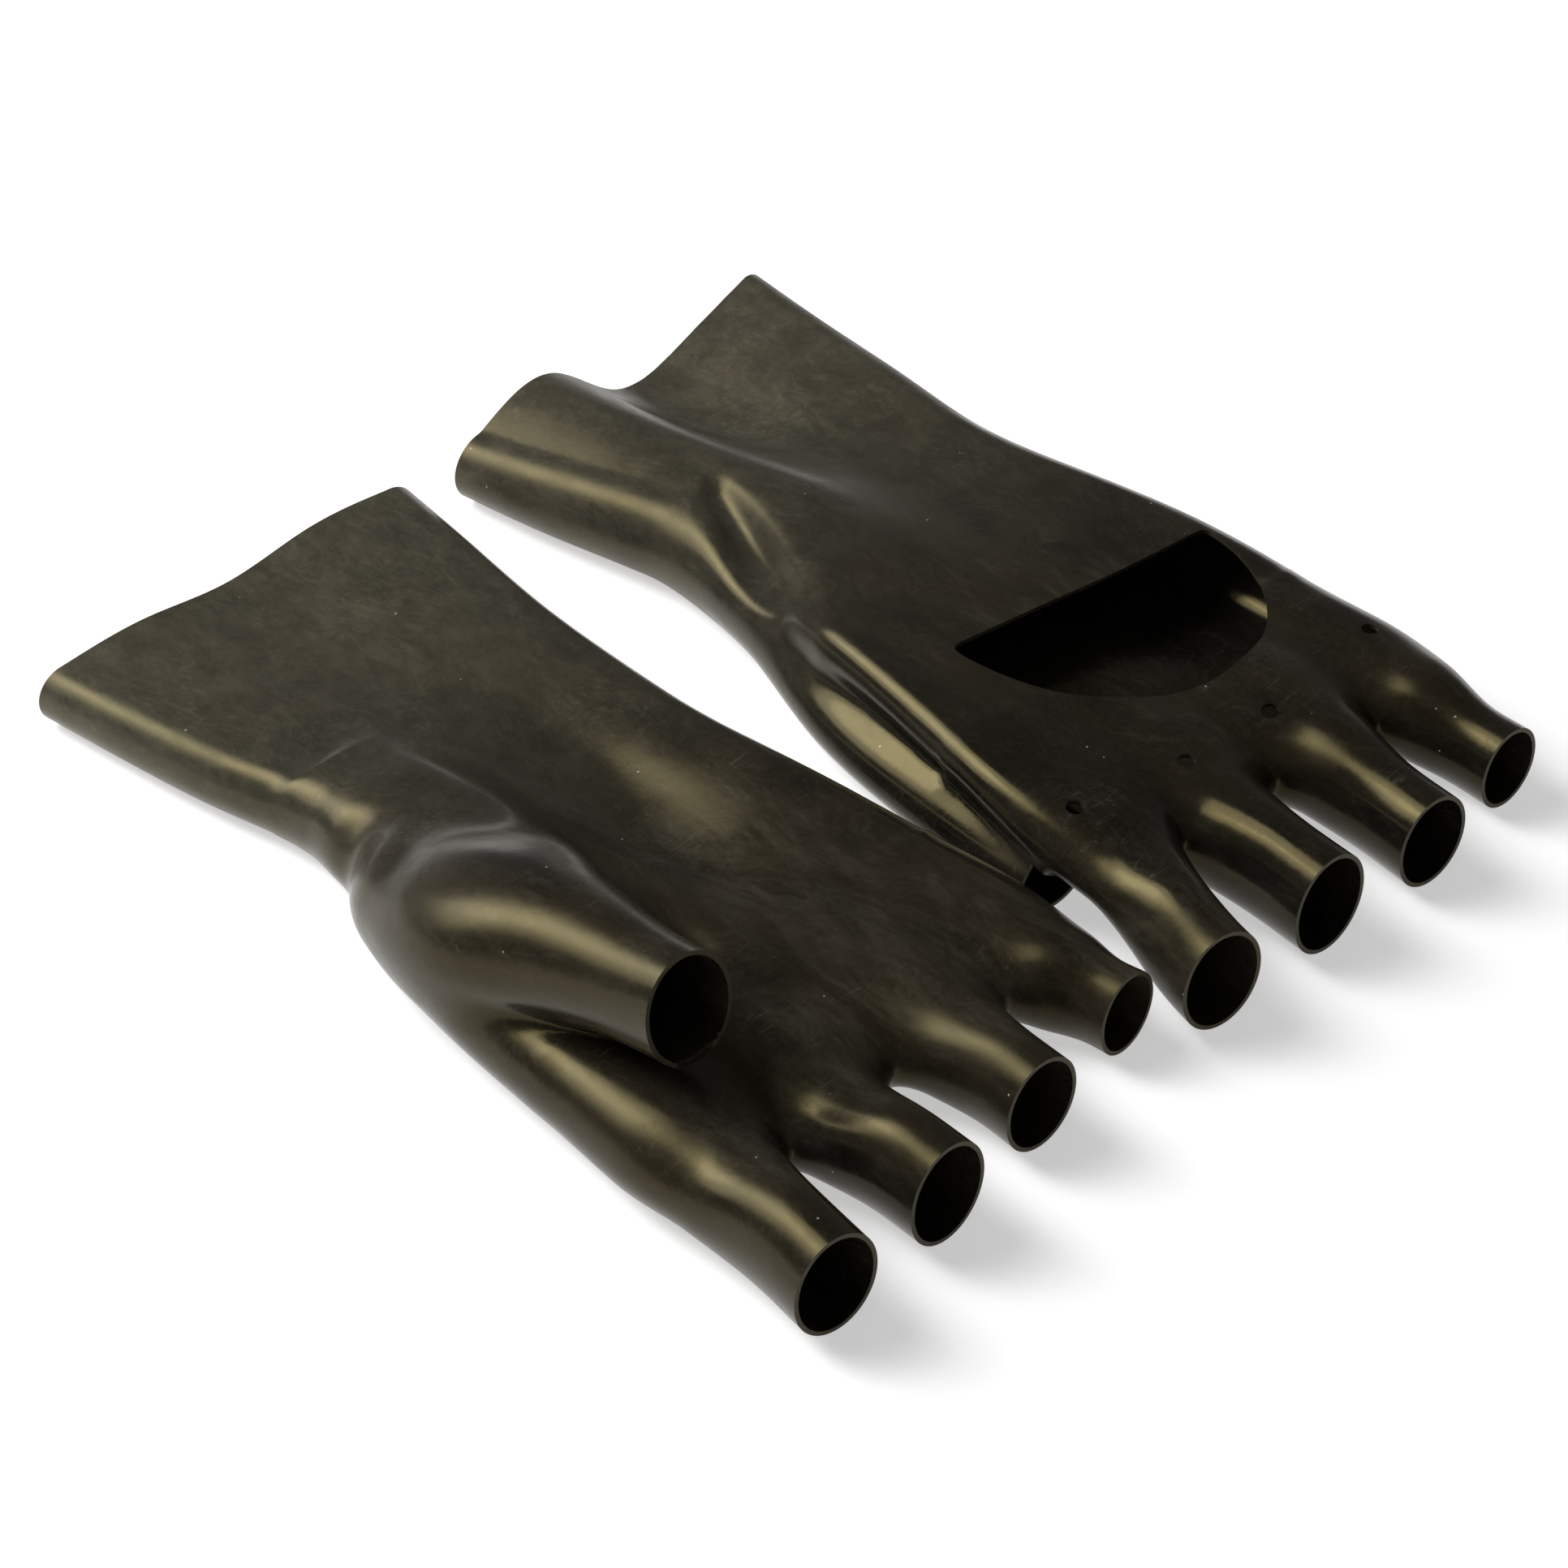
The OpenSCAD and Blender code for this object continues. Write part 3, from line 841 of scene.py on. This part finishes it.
        # bloom mask, which also holds the painted sheen that lightens the rubber towards the cuffs
        bloom_and_painted_sheen = n.use(self.bloom_and_painted_sheen, {"Vector": where, "Share": finish.chalk_share,
                                   "Painted sheen": finish.painted_sheen_share}).outputs["Mask"]
        wear = n.use(self.wear, {"Vector": where, "Scratches": finish.scratch_share})
        dust = n.use(self.dust, {"Vector": where, "Share": finish.dust_share}).outputs["Mask"]
        bloom_and_painted_sheen = n.math("ADD", bloom_and_painted_sheen, n.math("MULTIPLY", dust, n.ramp(bloom_and_painted_sheen, 0, 0.5, 0.5, 1.0)))
        grain = n.use(self.grain, {"Vector": where, "Depth": finish.bump})
        colour = n.mix(bloom_and_painted_sheen, cloud.outputs["Color"], finish.bloom_and_painted_sheen)
        colour = n.mix(n.math("MULTIPLY", wear.outputs["Scratches"], 0.25), colour, finish.bloom_and_painted_sheen)
        colour = n.mix(wear.outputs["Specks"], colour, finish.speck)
        n.join(colour, shader.inputs["Base Color"])
        rough = n.ramp(cloud.outputs["Cloud"], 0, 1, finish.rough_low, finish.rough_high)
        rough = n.math("ADD", rough, n.math("MULTIPLY", bloom_and_painted_sheen, 0.3))
        rough = n.math("ADD", rough, n.math("MULTIPLY", wear.outputs["Scratches"], 0.2))
        n.join(rough, shader.inputs["Roughness"])
        bump = n.add("ShaderNodeBump", {"Height": grain.outputs["Height"], "Strength": 1.0,
                                        "Distance": 1.0})
        n.join(bump.outputs["Normal"], shader.inputs["Normal"])
        shader.inputs["Specular IOR Level"].default_value = finish.specular
        shader.inputs["Specular Tint"].default_value = finish.tint
        return mat


# ---------------------------------------------------------------- the studio


@dataclass(frozen=True)
class Softbox:
    """One soft light: where it stands, where it points, its size and its power."""

    name: str
    place: tuple
    target: tuple
    size: tuple
    watts: float
    colour: tuple = (1.0, 1.0, 1.0)


KEY = Softbox("key", (-0.99, -0.58, 1.12), (0, 0, 0), (0.95, 1.35), 20)
KEY_CORE = Softbox("key_core", (-0.98, -0.574, 1.108), (0, 0, 0), (0.46, 0.62), 5.5)


@dataclass
class Studio:
    """Camera, pale floor and soft lights."""

    turn: float = 47.3
    tilt: float = 40.5
    distance: float = 1.1
    aim: tuple = (0.0033, -0.0048, 0.0)
    lens: float = 117.86
    floor_half: float = 6.0
    world: float = 0.10
    floor_glow: float = 0.50
    lights: list[Softbox] = field(default_factory=list)

    def camera(self) -> None:
        """Makes the camera and gives it to the scene."""
        a, e = math.radians(self.turn), math.radians(self.tilt)
        back = Vector((math.sin(a) * math.cos(e), -math.cos(a) * math.cos(e), math.sin(e)))
        data = bpy.data.cameras.new("camera")
        data.lens = self.lens
        data.sensor_width = 36
        data.clip_start, data.clip_end = 0.01, 100
        cam = bpy.data.objects.new("camera", data)
        cam.location = Vector(self.aim) + back * self.distance
        cam.rotation_euler = back.to_track_quat("Z", "Y").to_euler()
        bpy.context.scene.collection.objects.link(cam)
        bpy.context.scene.camera = cam

    def floor(self) -> None:
        """Lays the pale floor."""
        h = self.floor_half
        mesh = bpy.data.meshes.new("floor")
        mesh.from_pydata([(-h, -h, 0), (h, -h, 0), (h, h, 0), (-h, h, 0)], [], [(0, 1, 2, 3)])
        floor = bpy.data.objects.new("floor", mesh)
        bpy.context.scene.collection.objects.link(floor)
        mat = bpy.data.materials.new("floor_white")
        mat.use_nodes = True
        shader = mat.node_tree.nodes["Principled BSDF"]
        shader.inputs["Base Color"].default_value = (0.92, 0.92, 0.92, 1)
        shader.inputs["Roughness"].default_value = 0.8
        shader.inputs["Specular IOR Level"].default_value = 0.1
        shader.inputs["Emission Color"].default_value = (1, 1, 1, 1)
        shader.inputs["Emission Strength"].default_value = self.floor_glow
        mesh.materials.append(mat)

    def light(self, box: Softbox) -> None:
        """Hangs one soft light."""
        data = bpy.data.lights.new(box.name, "AREA")
        data.shape = "RECTANGLE"
        data.size, data.size_y = box.size
        data.energy = box.watts
        data.color = box.colour
        lamp = bpy.data.objects.new(box.name, data)
        lamp.location = box.place
        way = Vector(box.place) - Vector(box.target)
        lamp.rotation_euler = way.to_track_quat("Z", "Y").to_euler()
        bpy.context.scene.collection.objects.link(lamp)

    def air(self) -> None:
        """Sets the even light from all round."""
        world = bpy.data.worlds.new("studio")
        world.use_nodes = True
        world.node_tree.nodes["Background"].inputs["Color"].default_value = (1, 1, 1, 1)
        world.node_tree.nodes["Background"].inputs["Strength"].default_value = self.world
        bpy.context.scene.world = world
        bpy.context.scene.view_settings.view_transform = "Standard"

    def build(self) -> None:
        """Sets up the floor, the air and every light."""
        self.floor()
        self.air()
        for box in self.lights:
            self.light(box)


# ---------------------------------------------------------------- the pair


def right_glove() -> Glove:
    """The right glove, which lies palm up with its thumb over the palm."""
    w, h = 22.0, 25.0
    rows = [
        (76, -24, 9.5, 0.4, 0.22, 14),
        (92, -28, 11.5, 0.85, 0.48, 14),
        (112, -34, 17.5, 1.3, 0.90, 16),
        (136, -37, 25, 1.65, 1.15, 16),
        (156, -36, 30, 1.40, 1.12, 14),
        (176, -35.5, 34.5, 1.10, 1.0, 12),
        (192, -35.5, 38, 1.0, 1.0, 12),
    ]
    return Glove(
        node="right_glove",
        mount="right_cuff_mouth",
        lie=[
            [0.0, 14, 15, 13, 16, 15, 0],
            [0.5, 15, 15, 13, 16, 16, 0],
            [1.8, 16, 16, 14, 16, 16, 0],
            [3.8, 18, 17, 15, 16, 16, 0],
            [0.2, 20, 20, 17, 17, 17, 0],
            [-1.0, 20, 21, 19, 18, 18, 0],
            [-0.5, 20, 20, 20, 19, 18, 0],
            [0.0, 21, 20, 20, 20, 19, 0],
            [0.0, 23, 21, 21, 21, 20, 0],
        ],
        spread=[(0, 1.5), (0, 0.8), (0, -0.7), (0, -1.4)],
        thumb=[Station(x, y, z, a * w, b * h, 0, c) for x, y, z, a, b, c in rows],
        back=Wall.LOWER,
        dents=[
            Dent(92, -40, 16, 6, 8, 12, 25, 3.0),
            Dent(104, -42, 17, 5, 9, 12, 28, -1.5),
            Dent(84, -20, 15, 18, 12, 8, 10, -2.6),
            Dent(110, -15, 22, 26, 10, 10, 0, -5.4),
            Dent(134, -18, 32, 20, 8, 12, -8, -3.6),
            Dent(128, -52, 20, 26, 9, 12, 0, -3.0),
            Dent(162, -10, 24, 15, 6, 13, -20, 4.0),
            Dent(122, 13, 18, 36, 13, 12, -2, 8.0),
        ],
    )


def left_glove() -> Glove:
    """The left glove, which lies back up with its thumb tucked under the hand's edge."""
    w, h = 22.0, 25.0
    rows = [
        (48, -24, 10.5, 0.4, 0.30, -3),
        (64, -28, 10.5, 0.8, 0.60, -3),
        (95, -34, 9.9, 1.10, 0.74, -10),
        (125, -43.5, 9.2, 1.05, 0.71, -12),
        (155, -48.5, 8.7, 0.92, 0.68, -7),
        (194, -50.5, 8.5, 0.88, 0.67, -3),
    ]
    return Glove(
        node="left_glove",
        mount="left_cuff_mouth",
        lie=[
            [-1.5, 17, 21.5, 5, 6, 12.5, 0],
            [-1.2, 20, 23, 9, 11, 15, 0],
            [0.5, 22, 24, 15, 15, 17, 0],
            [1.3, 24, 26, 20, 17, 18, 2],
            [1.0, 28, 27, 23, 20, 19, 13],
            [2.0, 30, 27, 24, 21, 19, 19],
            [1.5, 30, 27, 24, 21, 19, 19],
            [0.0, 29, 26, 24, 22, 19, 18.5],
            [0.0, 27, 25, 24, 23, 20, 13],
        ],
        spread=[(-1.5, -1.5), (0.5, -1.5), (7, -3.5), (9, -5.5)],
        thumb=[Station(x, y, z, a * w, b * h, t) for x, y, z, a, b, t in rows],
        back=Wall.UPPER,
        tuck=3.0,
        skew=11.0,
        thumb_blend=(10.0, 5.0),
        dents=[
            Dent(30, 4, 10, 26, 14, 9, 4, 2.0),
            Dent(146, 2, 0, 20, 22, 9, 0, 9.0),
            Dent(154, -5, 8, 5, 3, 8, 35, -4.5),
        ],
        creases=[Crease(
            [56, 70, 84, 98, 112, 124],
            [
                (-24, 24, 4, 0.0), (-28, 24, 5, 4.5), (-33, 22, 6, 6.4), (-38, 22, 6, 5.0),
                (-42, 22, 5, 2.4), (-45, 22, 4, 0.0),
            ]
        )],
    )


def lay(glove: Glove, origin: list[float], materials: list[bpy.types.Material]) -> bpy.types.Object:
    """Builds one glove's mesh where the frame puts it.

    Args:
        glove: the glove's form.
        origin: the middle of its cuff mouth, in metres.
        materials: the rubber of the skins and of the cut rims.

    Returns:
        The new object, riding on its CAD body.
    """
    points, faces, skins, sharp = ShellMesher(glove).build()
    points = points * MM + np.array([origin[0], origin[1], 0.0])
    mesh = bpy.data.meshes.new(glove.node + "_shell")
    mesh.from_pydata(points.tolist(), [], faces)
    mesh.update()
    mesh.polygons.foreach_set("use_smooth", np.ones(len(mesh.polygons), bool))
    slots = np.zeros(len(mesh.polygons), int)
    slots[skins:] = 1
    for mat in materials:
        mesh.materials.append(mat)
    mesh.polygons.foreach_set("material_index", slots)
    wanted = set(map(tuple, np.sort(sharp, axis=1).tolist()))
    edge_rows = np.empty(2 * len(mesh.edges), int)
    mesh.edges.foreach_get("vertices", edge_rows)
    marks = [tuple(sorted(e)) in wanted for e in edge_rows.reshape(-1, 2).tolist()]
    mesh.edges.foreach_set("use_edge_sharp", marks)
    shell = bpy.data.objects.new(glove.node + "_shell", mesh)
    bpy.context.scene.collection.objects.link(shell)
    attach(shell, glove.node)
    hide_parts(glove.node)
    LOG.info("%s: %d points, %d faces", shell.name, len(points), len(faces))
    return shell


def main() -> None:
    """Builds the pair around the frame."""
    logging.basicConfig(level=logging.INFO, format="%(message)s")
    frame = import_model()
    studio = Studio(lights=[KEY, KEY_CORE])
    studio.camera()
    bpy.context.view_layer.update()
    mounts = {m["name"]: m["pos_m"] for m in frame["record"]["mounts"]}
    shop = RubberShop()
    skins, rims = shop.material(MOULDED), shop.material(CUT_EDGE)
    for glove in (right_glove(), left_glove()):
        lay(glove, mounts[glove.mount], [skins, rims])
    studio.build()


if __name__ == "__main__":
    main()
